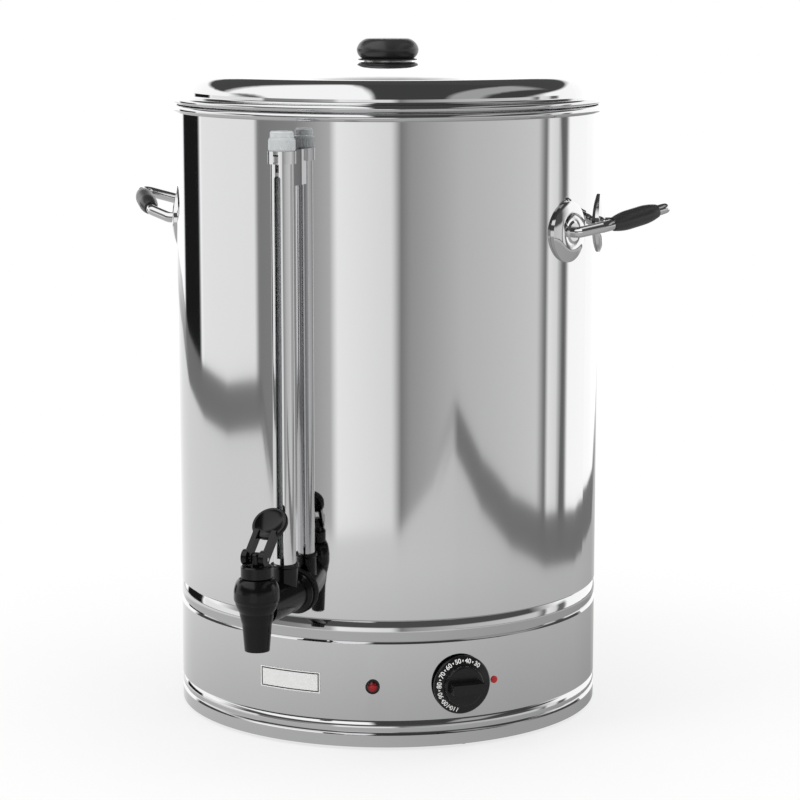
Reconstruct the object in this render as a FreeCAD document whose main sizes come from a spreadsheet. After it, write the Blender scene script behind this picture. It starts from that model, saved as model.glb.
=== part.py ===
import FreeCAD, Part
import math
import os

import Sketcher

# A 40 litre hot water urn: single wall tank on a base skirt, lift-off lid, side handles,
# lever tap with a sight gauge above it, thermostat dial and pilot lamp on the skirt.
# The origin is the centre of the base on the floor. +Z is up and the tap points along -Y.
# Azimuths are in degrees from the tap, growing towards +X.

drivingSizes = {
    # Tank
    "tankRadius": 180.0,
    "tankSheet": 1.0,
    "tankLipHeight": 108.0,
    "tankFloorHeight": 110.0,
    "tankFloorCorner": 4.0,
    "rimLow": 510.0,
    "rimTop": 516.5,
    "rimRoll": 2.8,
    "creaseDepth": 1.2,
    # Base skirt, seen from the floor up
    "footStand": 3.0,
    "skirtSheet": 1.0,
    "footBandTop": 14.2,
    "lowBeadTop": 24.0,
    "highBeadLow": 90.7,
    "beadDepth": 1.8,
    "grooveSlope": 1.4,
    "hemWidth": 12.0,
    "plateSheet": 1.0,
    # Lid
    "lidSheet": 0.8,
    "lidEdgeRoll": 2.9,
    "lidEdgeRadius": 179.5,
    "lidEdgeLow": 517.2,
    "lidEdgeTop": 522.8,
    "lidLipRadius": 175.0,
    "lidLipDrop": 9.0,
    "domeRadius": 169.5,
    "domeWallTop": 527.0,
    "shoulderRadius": 151.0,
    "shoulderHeight": 541.5,
    "shoulderRise": 4.0,
    "crownHeight": 551.5,
    "crownFlat": 22.0,
    "crownRise": 3.8,
    # Lid knob
    "knobHeight": 18.0,
    "knobRadius": 26.2,
    "knobFootRadius": 25.0,
    "knobWaistRadius": 22.0,
    "knobTopRadius": 18.0,
    "knobWasherRadius": 20.5,
    "knobWasherSheet": 0.8,
    "knobScrewRadius": 2.5,
    "knobScrewDepth": 10.0,
    # Handles
    "handleHeight": 416.5,
    "handleTurn": 3.0,
    "handleRootAngle": 13.8,
    "handleRod": 4.5,
    "handleNearReach": 26.0,
    "handleFarReach": 65.0,
    "handleNearSide": 37.0,
    "handleFarSide": 18.0,
    "handleNearRise": 5.0,
    "handleFarRise": 18.0,
    "handleStub": 10.5,
    "gripRadius": 8.0,
    "gripEnd": 5.6,
    "gripShift": 5.0,
    "gripLength": 46.0,
    "flangeRadius": 25.0,
    "flangeEdge": 1.6,
    "flangeDome": 5.0,
    "flangeHub": 7.5,
    # Tap
    "tapReach": 72.0,
    "barrelHeight": 130.0,
    "barrelRadius": 14.0,
    "barrelBore": 8.0,
    "stubRadius": 10.0,
    "stubInside": 20.0,
    "tapWasherRadius": 18.0,
    "tapWasherSheet": 3.0,
    "outletHeight": 98.0,
    "outletRadius": 10.0,
    "outletBore": 6.0,
    "chamberRadius": 18.2,
    "chamberBore": 9.5,
    "chamberSeat": 121.0,
    "chamberLow": 136.3,
    "chamberHigh": 146.0,
    "chamberTop": 156.2,
    "bonnetRadius": 12.5,
    "bonnetTop": 166.5,
    "pivotHeight": 172.0,
    "stemHeadRadius": 4.6,
    "stemHeadLow": 168.0,
    "stemTop": 176.5,
    "stemRadius": 3.0,
    "stemLift": 2.0,
    "springRadius": 6.5,
    "springWire": 1.2,
    "cupRadius": 8.4,
    "pinRadius": 1.5,
    "pinHalf": 10.4,
    "leverLean": 46.0,
    "leverLength": 33.5,
    "leverEye": 6.2,
    "leverEyeBack": 1.92,
    "leverEyeUp": 1.0,
    "leverInner": 5.4,
    "leverRail": 4.5,
    "leverDepth": 7.0,
    "leverPull": 55.0,
    "padRadius": 14.8,
    "padThick": 5.0,
    # Sight gauge
    "gaugeOffset": 22.0,
    "socketRadius": 10.5,
    "socketTop": 157.5,
    "glassRadius": 5.0,
    "glassWall": 1.0,
    "glassSeat": 149.0,
    "glassTop": 490.0,
    "guardRadius": 9.0,
    "guardWall": 0.9,
    "guardTop": 484.0,
    "armLow": 460.0,
    "guardSlot": 5.6,
    "slotLow": 163.0,
    "slotTop": 466.0,
    "bracketRadius": 11.2,
    "bracketLow": 478.0,
    "bracketTop": 488.0,
    "bracketWall": 1.6,
    "capRadius": 10.4,
    "capShoulder": 9.4,
    "capMiddle": 497.5,
    "capTop": 503.5,
    # Controls on the skirt
    "controlHeight": 54.0,
    "dialAzimuth": 43.3,
    "dialRadius": 24.3,
    "dialStandOff": 2.4,
    "dialSkirt": 4.0,
    "dialHub": 16.5,
    "dialHubTop": 11.0,
    "dialGripTop": 21.0,
    "dialGripWidth": 8.0,
    "dialHollow": 18.5,
    "shaftRadius": 3.0,
    "bushRadius": 5.0,
    "thermostatWidth": 40.0,
    "thermostatDepth": 30.0,
    "pilotAzimuth": 20.2,
    "pilotRadius": 5.9,
    "pilotBody": 4.0,
    "pilotBodyDepth": 20.0,
    "indexAzimuth": 53.0,
    "indexRadius": 3.0,
    "plateAzimuth": -2.5,
    "plateWidth": 55.0,
    "plateHeight": 17.5,
    "plateCentre": 55.0,
    "plateThick": 0.5,
    # Heating and wiring
    "elementRing": 110.0,
    "elementTube": 4.2,
    "elementLift": 24.0,
    "elementBend": 14.0,
    "elementSplit": 12.0,
    "glandRadius": 8.0,
    "glandHeight": 38.0,
    "probeRadius": 3.2,
    "probeLength": 70.0,
    "probeCircle": 70.0,
    # Feet
    "footCircle": 150.0,
    "footRadius": 10.0,
    "footStem": 3.0,
    "footBore": 2.2,
    # Clearances
    "seatGap": 0.1,
    "runningGap": 0.05,
    "drillGap": 0.2,
}

document = FreeCAD.newDocument("urn")
sheet = document.addObject("Spreadsheet::Sheet", "Sizes")


class Size:
    # A number together with the formula that the sheet works it out by.
    def __init__(self, value, formula):
        self.value = value
        self.formula = formula

    def __add__(self, other):
        other = asSize(other)
        return Size(self.value + other.value, f"({self.formula} + {other.formula})")

    def __sub__(self, other):
        other = asSize(other)
        return Size(self.value - other.value, f"({self.formula} - {other.formula})")

    def __mul__(self, other):
        other = asSize(other)
        return Size(self.value * other.value, f"({self.formula} * {other.formula})")

    def __truediv__(self, other):
        other = asSize(other)
        return Size(self.value / other.value, f"({self.formula} / {other.formula})")

    def __neg__(self):
        return Size(-self.value, f"(0 - {self.formula})")


def asSize(number):
    return number if isinstance(number, Size) else Size(number, repr(number))


class Sizes:
    # The driving sizes by name, written to the sheet as plain numbers.
    def __init__(self, table):
        for row, (name, value) in enumerate(table.items(), start=1):
            sheet.set(f"A{row}", name)
            sheet.set(f"B{row}", str(value))
            sheet.setAlias(f"B{row}", name)
            setattr(self, name, Size(value, f"Sizes.{name}"))


size = Sizes(drivingSizes)
document.recompute()
zero = asSize(0)
nodes = []


def bind(item, **formulas):
    for name, number in formulas.items():
        number = asSize(number)
        setattr(item, name, number.value)
        if "Sizes." in number.formula:
            item.setExpression(name, number.formula)
    return item


def keep(item, label):
    item.Label = label
    nodes.append(item)
    return item


# Frames: local Z points out of the wall, local X grows with the azimuth, local Y is up.
def facing(azimuth, radius, height):
    angle = math.radians(azimuth.value)
    outward = FreeCAD.Vector(math.sin(angle), -math.cos(angle), 0)
    sideways = FreeCAD.Vector(math.cos(angle), math.sin(angle), 0)
    up = FreeCAD.Vector(0, 0, 1)
    turn = FreeCAD.Rotation(sideways, up, outward, "ZYX")
    return FreeCAD.Placement(outward * radius.value + up * height.value, turn)


# Local Z stays up, and local -Y points outward.
def standing(azimuth, radius, height):
    angle = math.radians(azimuth.value)
    turn = FreeCAD.Rotation(FreeCAD.Vector(0, 0, 1), azimuth.value)
    place = FreeCAD.Vector(radius.value * math.sin(angle), -radius.value * math.cos(angle), height.value)
    return FreeCAD.Placement(place, turn)


def arcThrough(start, end, rise):
    chord = end - start
    left = FreeCAD.Vector(-chord.y, chord.x, 0).normalize()
    return Part.Arc(start, (start + end) * 0.5 + left * rise, end)


def drawLoop(sketch, corners):
    # Each corner is (x, y), or (x, y, rise) where the edge that ends there is an arc.
    # A positive rise bows the arc to the left of the way along the loop.
    first = sketch.GeometryCount
    count = len(corners)
    ends = []
    for index, corner in enumerate(corners):
        before = corners[index - 1]
        start = FreeCAD.Vector(before[0].value, before[1].value, 0)
        end = FreeCAD.Vector(corner[0].value, corner[1].value, 0)
        if len(corner) == 2:
            sketch.addGeometry(Part.LineSegment(start, end))
            ends.append((1, 2))
        elif corner[2].value < 0:
            sketch.addGeometry(arcThrough(start, end, corner[2].value))
            ends.append((1, 2))
        else:
            sketch.addGeometry(arcThrough(end, start, -corner[2].value))
            ends.append((2, 1))
    for index, corner in enumerate(corners):
        edge = first + index
        after = first + (index + 1) % count
        place = ends[index][1]
        sketch.addConstraint(Sketcher.Constraint("Coincident", edge, place, after,
            ends[(index + 1) % count][0]))
        for kind, number in (("DistanceX", corner[0]), ("DistanceY", corner[1])):
            if number.value == 0:
                axis = -2 if kind == "DistanceX" else -1
                sketch.addConstraint(Sketcher.Constraint("PointOnObject", edge, place, axis))
                continue
            rule = sketch.addConstraint(Sketcher.Constraint(kind, -1, 1, edge, place, number.value))
            if "Sizes." in number.formula:
                sketch.setExpression(f"Constraints[{rule}]", number.formula)
        if len(corner) == 3:
            before = corners[index - 1]
            across = corner[0] - before[0]
            along = corner[1] - before[1]
            rise = corner[2] if corner[2].value > 0 else -corner[2]
            radius = ((across * across + along * along) / 4.0 + rise * rise) / (rise * 2.0)
            rule = sketch.addConstraint(Sketcher.Constraint("Radius", edge, radius.value))
            sketch.setExpression(f"Constraints[{rule}]", radius.formula)


def sketchOn(body, name, role, loops):
    sketch = body.newObject("Sketcher::SketchObject", name)
    plane = next(feature for feature in body.Origin.OriginFeatures if feature.Role == role)
    sketch.AttachmentSupport = [(plane, "")]
    sketch.MapMode = "FlatFace"
    for loop in loops:
        drawLoop(sketch, loop)
    return sketch


# A turned piece: corners give radius and height about the body's own Z axis.
def turned(name, corners, place=None):
    body = document.addObject("PartDesign::Body", name)
    sketch = sketchOn(body, name + "_outline", "XZ_Plane", [corners])
    turn = body.newObject("PartDesign::Revolution", name + "_turn")
    turn.Profile = sketch
    turn.ReferenceAxis = (sketch, ["V_Axis"])
    turn.Angle = 360
    body.Placement = place or FreeCAD.Placement()
    return body


def ring(name, outer, inner, low, high, place=None):
    return turned(name, [(inner, low), (outer, low), (outer, high), (inner, high)], place)


def disc(name, radius, low, high, place=None):
    return ring(name, radius, zero, low, high, place)


# A flat piece: corners are in the body's XY plane and the piece rises from it.
def plate(name, loops, thick, place=None):
    body = document.addObject("PartDesign::Body", name)
    sketch = sketchOn(body, name + "_outline", "XY_Plane", loops)
    pad = body.newObject("PartDesign::Pad", name + "_pad")
    pad.Profile = sketch
    bind(pad, Length=thick)
    body.Placement = place or FreeCAD.Placement()
    return body


def cylinder(name, radius, length, place):
    item = bind(document.addObject("Part::Cylinder", name), Radius=radius, Height=length)
    item.Placement = place
    return item


def box(name, width, depth, height, place):
    item = bind(document.addObject("Part::Box", name), Length=width, Width=depth, Height=height)
    item.Placement = place
    return item


def moved(place, x, y, z):
    return place.multiply(FreeCAD.Placement(FreeCAD.Vector(asSize(x).value, asSize(y).value,
        asSize(z).value),
                                            FreeCAD.Rotation()))


def along(place, x, y, z, direction):
    # A frame at a local point whose Z axis lies along a local direction.
    turn = FreeCAD.Rotation(FreeCAD.Vector(0, 0, 1), FreeCAD.Vector(*direction))
    return place.multiply(FreeCAD.Placement(FreeCAD.Vector(asSize(x).value, asSize(y).value,
        asSize(z).value), turn))


def joined(kind, name, parts):
    item = document.addObject(kind, name)
    if kind in ("Part::MultiFuse", "Part::MultiCommon"):
        item.Shapes = parts
    else:
        item.Links = parts
    return item


def fused(name, parts):
    return joined("Part::MultiFuse", name, parts)


def grouped(name, parts):
    return joined("Part::Compound", name, parts)


def cutBy(name, base, tools):
    item = document.addObject("Part::Cut", name)
    item.Base = base
    item.Tool = tools[0] if len(tools) == 1 else fused(name + "_tools", tools)
    return item


def drill(name, azimuth, height, radius, depth):
    # A cylinder along the outward direction, across the tank or skirt wall.
    return cylinder(name, radius, depth, facing(azimuth, size.tankRadius - depth / 2.0, height))


def hexagon(across):
    half = across / 2.0
    tip = across / math.sqrt(3.0)
    return [(tip, zero), (tip / 2.0, half), (-tip / 2.0, half), (-tip, zero), (-tip / 2.0, -half),
        (tip / 2.0, -half)]


def circleHole(sketch, radius):
    index = sketch.addGeometry(Part.Circle(FreeCAD.Vector(0, 0, 0), FreeCAD.Vector(0, 0, 1), radius.value))
    sketch.addConstraint(Sketcher.Constraint("Coincident", index, 3, -1, 1))
    rule = sketch.addConstraint(Sketcher.Constraint("Radius", index, radius.value))
    if "Sizes." in radius.formula:
        sketch.setExpression(f"Constraints[{rule}]", radius.formula)


def hexNut(name, across, bore, thick, place):
    body = plate(name, [hexagon(across)], thick, place)
    circleHole(body.Group[0], bore)
    return body


def screw(name, shank, length, head, headThick, place):
    # A pan head screw whose head rests at local z = 0 and whose shank runs along local -Z.
    return turned(name, [(zero, -length), (shank, -length), (shank, zero), (head, zero),
                         (head, headThick * 0.5), (head * 0.6, headThick, headThick * 0.12),
                         (zero, headThick)], place)


def bentPath(points, bends):
    # Straight runs joined by tangent arcs, with one bend radius for each inner point.
    edges = []
    at = points[0]
    for index, bend in enumerate(bends, start=1):
        before = (points[index - 1] - points[index]).normalize()
        after = (points[index + 1] - points[index]).normalize()
        turn = math.pi - before.getAngle(after)
        back = bend * math.tan(turn / 2)
        start = points[index] + before * back
        end = points[index] + after * back
        bisector = (before + after).normalize()
        centre = points[index] + bisector * (bend / math.cos(turn / 2))
        edges.append(Part.LineSegment(at, start).toShape())
        edges.append(Part.Arc(start, centre - bisector * bend, end).toShape())
        at = end
    edges.append(Part.LineSegment(at, points[-1]).toShape())
    return Part.Wire(edges)


def swept(name, path, radius):
    first = path.Edges[0]
    start = first.valueAt(first.FirstParameter)
    way = first.tangentAt(first.FirstParameter)
    circle = Part.Wire([Part.Circle(start, way, radius).toShape()])
    item = document.addObject("Part::Feature", name)
    item.Shape = path.makePipeShell([circle], True, False)
    return item


def tankShell():
    radius = size.tankRadius
    inner = radius - size.tankSheet
    lip = radius - size.creaseDepth
    floorTop = size.tankFloorHeight + size.tankSheet
    corner = size.tankFloorCorner
    outline = [
        (zero, size.tankFloorHeight), (lip - size.tankSheet, size.tankFloorHeight),
        (lip - size.tankSheet, size.tankLipHeight), (lip, size.tankLipHeight),
        (radius, size.tankLipHeight + size.creaseDepth), (radius, size.rimLow),
        (radius, size.rimTop, -size.rimRoll), (inner, size.rimTop),
        (inner, floorTop + corner), (inner - corner, floorTop, -(corner * 0.2929)), (zero, floorTop)]
    blank = turned("tank_shell_blank", outline)
    tools = [drill("tank_tap_hole", zero, size.barrelHeight, size.stubRadius + size.drillGap, asSize(16))]
    for side, azimuth in handleRoots():
        tools.append(drill(f"tank_hole_{side}", azimuth, size.handleHeight,
            size.handleRod + size.drillGap, asSize(16)))
    tools.append(drill("tank_bracket_hole", zero, bracketScrewHeight(), asSize(2.0) + size.drillGap,
        asSize(16)))
    for azimuth, radius in elementLegs():
        tools.append(cylinder("tank_element_hole", elementBush() + size.drillGap, asSize(20),
                              standing(azimuth, radius, size.tankFloorHeight - 10)))
    tools.append(cylinder("tank_probe_hole", asSize(4.0) + size.drillGap, asSize(20),
                          standing(size.dialAzimuth, size.probeCircle, size.tankFloorHeight - 10)))
    keep(cutBy("tank_shell", blank, tools), "tank_shell")


def baseSkirt():
    radius = size.tankRadius
    groove = radius - size.beadDepth
    slope = size.grooveSlope
    top = size.tankLipHeight - size.seatGap
    thick = size.skirtSheet
    low = size.footStand
    outside = [
        (radius, low), (radius, size.footBandTop - slope), (groove, size.footBandTop),
        (groove, size.lowBeadTop, -size.beadDepth), (radius, size.lowBeadTop + slope),
        (radius, size.highBeadLow - slope), (groove, size.highBeadLow), (groove, top, -size.beadDepth)]
    inside = [
        (groove - size.hemWidth, top), (groove - size.hemWidth, top - thick), (groove - thick, top - thick),
        (groove - thick, size.highBeadLow - slope), (radius - thick, size.highBeadLow - slope * 2.0),
        (radius - thick, size.lowBeadTop + slope * 2.0), (groove - thick, size.lowBeadTop + slope),
        (groove - thick, low + thick), (radius - size.hemWidth, low + thick), (radius - size.hemWidth, low)]
    blank = turned("base_skirt_blank", outside + inside)
    tools = [drill("skirt_thermostat_hole", size.dialAzimuth, size.controlHeight,
                   size.bushRadius + size.seatGap, asSize(16)),
             drill("skirt_pilot_hole", size.pilotAzimuth, size.controlHeight,
                   size.pilotBody + size.seatGap, asSize(16)),
             drill("skirt_gland_hole", asSize(180), size.glandHeight, size.glandRadius + size.seatGap,
             asSize(16))]
    for azimuth in plateScrewAzimuths():
        tools.append(cylinder("skirt_screw_hole", asSize(2.0) + size.seatGap, asSize(8),
                              standing(azimuth, plateScrewCircle(), size.footStand - 3)))
    keep(cutBy("base_skirt", blank, tools), "base_skirt")


def plateScrewAzimuths():
    return [asSize(45 + 90 * index) for index in range(4)]


def plateScrewCircle():
    return size.tankRadius - size.hemWidth / 2.0 - 1.0


def basePlate():
    low = size.footStand + size.skirtSheet + size.seatGap
    rim = size.tankRadius - size.beadDepth - size.skirtSheet - size.drillGap
    blank = disc("base_plate_blank", rim, low, low + size.plateSheet)
    tools = []
    for azimuth in plateScrewAzimuths():
        tools.append(cylinder("plate_screw_hole", asSize(2.0) + size.seatGap, asSize(8),
                              standing(azimuth, plateScrewCircle(), size.footStand - 1)))
        tools.append(cylinder("plate_foot_hole", size.footStem + size.seatGap, asSize(8),
                              standing(azimuth + 45.0, size.footCircle, size.footStand - 1)))
    keep(cutBy("base_plate", blank, tools), "base_plate")
    screws = []
    feet = []
    down = FreeCAD.Placement(FreeCAD.Vector(), FreeCAD.Rotation(FreeCAD.Vector(1, 0, 0), 180))
    footTop = low - size.seatGap
    plateTop = low + size.plateSheet
    wide = size.footRadius
    bore = size.footBore
    for index, azimuth in enumerate(plateScrewAzimuths()):
        place = standing(azimuth, plateScrewCircle(), size.footStand - size.seatGap).multiply(down)
        screws.append(screw(f"plate_screw_{index}", asSize(2.0), asSize(6.0), asSize(3.6), asSize(1.8),
            place))
        # A hollow rubber foot whose barbed stem is pushed through the plate.
        feet.append(turned(f"foot_{index}", [
            (bore, zero), (wide - 1.4, zero), (wide, footTop * 0.5), (wide, footTop),
            (size.footStem, footTop),
            (size.footStem, plateTop + 0.2), (size.footStem + 1.4, plateTop + 0.2),
            (size.footStem + 0.2, plateTop + 2.6), (bore, plateTop + 2.6)],
            standing(azimuth + 45.0, size.footCircle, zero)))
    keep(grouped("base_plate_screws", screws), "base_plate_screws")
    keep(grouped("feet", feet), "rubber_feet")


def lidDome():
    sheetMetal = size.lidSheet
    hole = size.knobScrewRadius + size.drillGap
    edge = size.lidEdgeRadius
    lip = size.lidLipRadius
    outside = [
        (hole, size.crownHeight), (size.crownFlat, size.crownHeight),
        (size.shoulderRadius, size.shoulderHeight, size.crownRise),
        (size.domeRadius, size.domeWallTop, size.shoulderRise),
        (size.domeRadius, size.lidEdgeTop + 2.0), (size.domeRadius + 2.0, size.lidEdgeTop, -asSize(0.6)),
        (edge, size.lidEdgeTop), (edge, size.lidEdgeLow, size.lidEdgeRoll)]
    inside = [
        (lip, size.lidEdgeLow), (lip, size.lidEdgeLow - size.lidLipDrop),
        (lip - sheetMetal, size.lidEdgeLow - size.lidLipDrop),
        (lip - sheetMetal, size.lidEdgeTop - sheetMetal),
        (size.domeRadius - sheetMetal, size.lidEdgeTop - sheetMetal),
        (size.domeRadius - sheetMetal, size.domeWallTop),
        (size.shoulderRadius - sheetMetal * 0.5, size.shoulderHeight - sheetMetal, -size.shoulderRise),
        (size.crownFlat, size.crownHeight - sheetMetal, -size.crownRise),
        (hole, size.crownHeight - sheetMetal)]
    keep(turned("lid_dome", outside + inside), "lid_dome")
    washerLow = size.crownHeight + size.seatGap
    washerTop = washerLow + size.knobWasherSheet
    keep(ring("lid_knob_washer", size.knobWasherRadius, hole, washerLow, washerTop), "lid_knob_washer")
    base = washerTop + size.seatGap
    top = base + size.knobHeight
    knob = [
        (hole, base), (size.knobFootRadius, base), (size.knobFootRadius, base + 0.9),
        (size.knobWaistRadius, base + 1.6), (size.knobRadius, base + 9.6, -asSize(1.3)),
        (size.knobTopRadius, top, -asSize(1.6)), (zero, top), (zero, base + size.knobScrewDepth),
        (hole, base + size.knobScrewDepth)]
    keep(turned("lid_knob", knob), "lid_knob")
    under = FreeCAD.Placement(FreeCAD.Vector(0, 0, (size.crownHeight - sheetMetal - size.seatGap).value),
                              FreeCAD.Rotation(FreeCAD.Vector(1, 0, 0), 180))
    length = base + size.knobScrewDepth - size.crownHeight
    keep(screw("lid_knob_screw", size.knobScrewRadius, length, asSize(5.0), asSize(3.0), under),
        "lid_knob_screw")


def handleRoots():
    roots = []
    for side, square in (("right", 90), ("left", 270)):
        centre = size.handleTurn + square if side == "right" else asSize(square) + size.handleTurn
        lean = size.handleRootAngle if side == "right" else -size.handleRootAngle
        roots.append((side + "_front", centre - lean))
        roots.append((side + "_rear", centre + lean))
    return roots


def handle(side, square, sense):
    # sense is +1 where the azimuth grows towards the rear of the urn, and -1 on the other side.
    centre = asSize(square) + size.handleTurn
    frame = facing(centre, zero, size.handleHeight)
    near = math.radians(size.handleRootAngle.value)
    wall = size.tankRadius.value
    inside = wall - size.tankSheet.value - 11
    outside = wall + size.handleStub.value

    def point(across, rise, out):
        return frame.multVec(FreeCAD.Vector(sense * across, rise, out))

    points = [
        point(-inside * math.sin(near), 0, inside * math.cos(near)),
        point(-outside * math.sin(near), 0, outside * math.cos(near)),
        point(-size.handleNearSide.value, size.handleNearRise.value, wall + size.handleNearReach.value),
        point(size.handleFarSide.value, size.handleFarRise.value, wall + size.handleFarReach.value),
        point(outside * math.sin(near), 0, outside * math.cos(near)),
        point(inside * math.sin(near), 0, inside * math.cos(near))]
    keep(swept(f"handle_rod_{side}", bentPath(points, [7.0, 9.0, 9.0, 7.0]), size.handleRod.value),
        f"handle_rod_{side}")
    # The grip is a spindle on the straight run between the two outer bends, nearer the lower one.
    way = (points[3] - points[2]).normalize()
    middle = (points[2] + points[3]) * 0.5 - way * size.gripShift.value
    half = size.gripLength / 2.0
    bore = size.handleRod + size.runningGap
    grip = turned(f"handle_grip_{side}", [
        (bore, -half), (size.gripEnd, -half), (size.gripRadius, -(half * 0.35), -asSize(0.5)),
        (size.gripRadius, half * 0.35), (size.gripEnd, half, -asSize(0.5)), (bore, half)],
        FreeCAD.Placement(middle, FreeCAD.Rotation(FreeCAD.Vector(0, 0, 1), way)))
    keep(grip, f"handle_grip_{side}")
    flanges = []
    washers = []
    nuts = []
    for name, azimuth in handleRoots():
        if not name.startswith(side):
            continue
        place = facing(azimuth, size.tankRadius, size.handleHeight)
        blank = turned(f"flange_{name}_blank", [
            (bore, -asSize(2.0)), (size.flangeRadius, -asSize(2.0)), (size.flangeRadius, size.flangeEdge),
            (size.flangeHub + 2.0, size.flangeDome, -asSize(1.2)), (size.flangeHub, size.flangeDome + 1.2),
            (bore, size.flangeDome + 1.2)], place)
        wallTool = cylinder(f"flange_{name}_wall", size.tankRadius + size.seatGap, asSize(80),
                            standing(zero, zero, size.handleHeight - 40.0))
        flanges.append(cutBy(f"flange_{name}", blank, [wallTool]))
        inner = -(size.tankSheet + size.seatGap + 0.3)
        washers.append(ring(f"washer_{name}", asSize(9.0), bore, inner - 1.5, inner, place))
        nuts.append(hexNut(f"nut_{name}", asSize(13.0), bore, asSize(5.0), moved(place, 0, 0, inner - 6.6)))
    keep(grouped(f"handle_flanges_{side}", flanges), f"handle_flanges_{side}")
    keep(grouped(f"handle_washers_{side}", washers), f"handle_washers_{side}")
    keep(grouped(f"handle_nuts_{side}", nuts), f"handle_nuts_{side}")


def tapBody():
    axis = standing(zero, size.tankRadius + size.tapReach, zero)
    out = facing(zero, size.tankRadius, size.barrelHeight)
    wide = size.chamberRadius
    chamber = turned("tap_chamber", [
        (zero, size.outletHeight), (size.outletRadius, size.outletHeight), (asSize(11.8), asSize(119.5)),
        (asSize(13.8), asSize(129.0), -asSize(0.25)), (wide - 1.2, size.chamberLow, -asSize(0.3)),
        (wide - 1.2, size.chamberLow + 0.7), (wide, size.chamberLow + 4.0, -asSize(0.2)),
        (wide, size.chamberHigh),
        (wide - 1.4, asSize(152.0), -asSize(0.2)), (asSize(13.6), size.chamberTop, -asSize(0.4)),
        (zero, size.chamberTop)], axis)
    barrel = turned("tap_barrel", [
        (zero, -size.stubInside), (size.stubRadius, -size.stubInside),
        (size.stubRadius, size.tapWasherSheet + 0.4),
        (size.barrelRadius + 3.0, size.tapWasherSheet + 0.4),
        (size.barrelRadius + 3.0, size.tapWasherSheet + 4.0),
        (size.barrelRadius, size.tapWasherSheet + 6.0), (size.barrelRadius, size.tapReach - 8.0),
        (zero, size.tapReach - 8.0)], out)
    socket = turned("tap_gauge_socket", [
        (zero, size.barrelHeight), (size.socketRadius, size.barrelHeight),
        (size.socketRadius, size.socketTop - 3.0),
        (size.socketRadius + 1.0, size.socketTop - 2.0), (size.socketRadius + 1.0, size.socketTop),
        (zero, size.socketTop)], standing(zero, size.tankRadius + size.gaugeOffset, zero))
    blank = fused("tap_body_blank", [chamber, barrel, socket])
    seat = size.chamberSeat
    bores = turned("tap_bores", [
        (zero, size.outletHeight - 1.0), (size.outletBore, size.outletHeight - 1.0),
        (size.outletBore, seat),
        (size.chamberBore, seat), (size.chamberBore, size.chamberTop + 1.0),
        (zero, size.chamberTop + 1.0)], axis)
    through = cylinder("tap_barrel_bore", size.barrelBore, size.tapReach + size.stubInside + 1.0,
                       moved(out, 0, 0, -size.stubInside - 1.0))
    gauge = turned("tap_gauge_bore", [
        (zero, size.barrelHeight), (asSize(3.0), size.barrelHeight), (asSize(3.0), size.glassSeat),
        (size.glassRadius + 1.6, size.glassSeat), (size.glassRadius + 1.6, size.socketTop + 1.0),
        (zero, size.socketTop + 1.0)], standing(zero, size.tankRadius + size.gaugeOffset, zero))
    keep(cutBy("tap_body", blank, [bores, through, gauge]), "tap_body")


def tapFixings():
    out = facing(zero, size.tankRadius, size.barrelHeight)
    bore = size.stubRadius + size.seatGap
    blank = ring("tap_washer_blank", size.tapWasherRadius, bore, -asSize(1.5),
        size.tapWasherSheet + 0.3, out)
    wallTool = cylinder("tap_washer_wall", size.tankRadius + size.seatGap, asSize(80),
                        standing(zero, zero, size.barrelHeight - 40.0))
    keep(cutBy("tap_washer_outer", blank, [wallTool]), "tap_washer_outer")
    inner = -(size.tankSheet + size.seatGap + 1.1)
    keep(ring("tap_washer_inner", size.tapWasherRadius - 4.0, bore, inner - 2.0, inner, out),
        "tap_washer_inner")
    keep(hexNut("tap_lock_nut", asSize(24.0), bore, asSize(7.0), moved(out, 0, 0, inner - 9.1)),
        "tap_lock_nut")


def tapTop():
    axis = standing(zero, size.tankRadius + size.tapReach, zero)
    bore = size.stemRadius + size.seatGap
    springRoom = size.springRadius + 0.4
    spigot = size.chamberBore - size.seatGap
    low = size.chamberTop + size.seatGap
    wide = size.bonnetRadius
    keep(turned("tap_bonnet", [
        (springRoom, low - 6.0), (spigot, low - 6.0), (spigot, low), (wide - 0.6, low), (wide, low + 1.0),
        (wide, size.bonnetTop - 1.0), (wide - 1.0, size.bonnetTop), (bore, size.bonnetTop), (bore, low),
        (springRoom, low)], axis), "tap_bonnet")
    keep(cylinder("tap_lever_pin", size.pinRadius, size.pinHalf * 2.0,
                  along(axis, -size.pinHalf, 0, size.pivotHeight, (1, 0, 0))), "tap_lever_pin")
    cupLow = size.chamberSeat + size.seatGap * 2.0
    cupTop = cupLow + 7.0
    springLow = cupTop + 8.0
    collar = size.springRadius
    head = size.stemHeadRadius
    stem = turned("stem_blank", [
        (zero, cupLow + 3.0), (size.stemRadius, cupLow + 3.0), (size.stemRadius, springLow - 2.0),
        (collar, springLow - 2.0), (collar, springLow), (size.stemRadius, springLow),
        (size.stemRadius, size.stemHeadLow), (head, size.stemHeadLow), (head, size.stemTop - 2.2),
        (head - 2.0, size.stemTop, -asSize(0.5)), (zero, size.stemTop)], axis)
    pinHole = cylinder("stem_pin_hole", size.pinRadius + size.runningGap, asSize(16),
                       along(axis, -8, 0, size.pivotHeight, (1, 0, 0)))
    keep(cutBy("tap_stem", stem, [pinHole]), "tap_stem")
    keep(turned("tap_seat_cup", [
        (zero, cupLow), (size.cupRadius, cupLow), (size.cupRadius, cupLow + 2.0),
        (size.stemRadius + 1.8, cupTop),
        (size.stemRadius + size.seatGap * 0.2, cupTop),
        (size.stemRadius + size.seatGap * 0.2, cupLow + 2.9),
        (zero, cupLow + 2.9)], axis), "tap_seat_cup")
    keep(ring("tap_spring", size.springRadius, size.springRadius - size.springWire,
        springLow + size.seatGap,
              low - size.seatGap, axis), "tap_spring")


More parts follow.
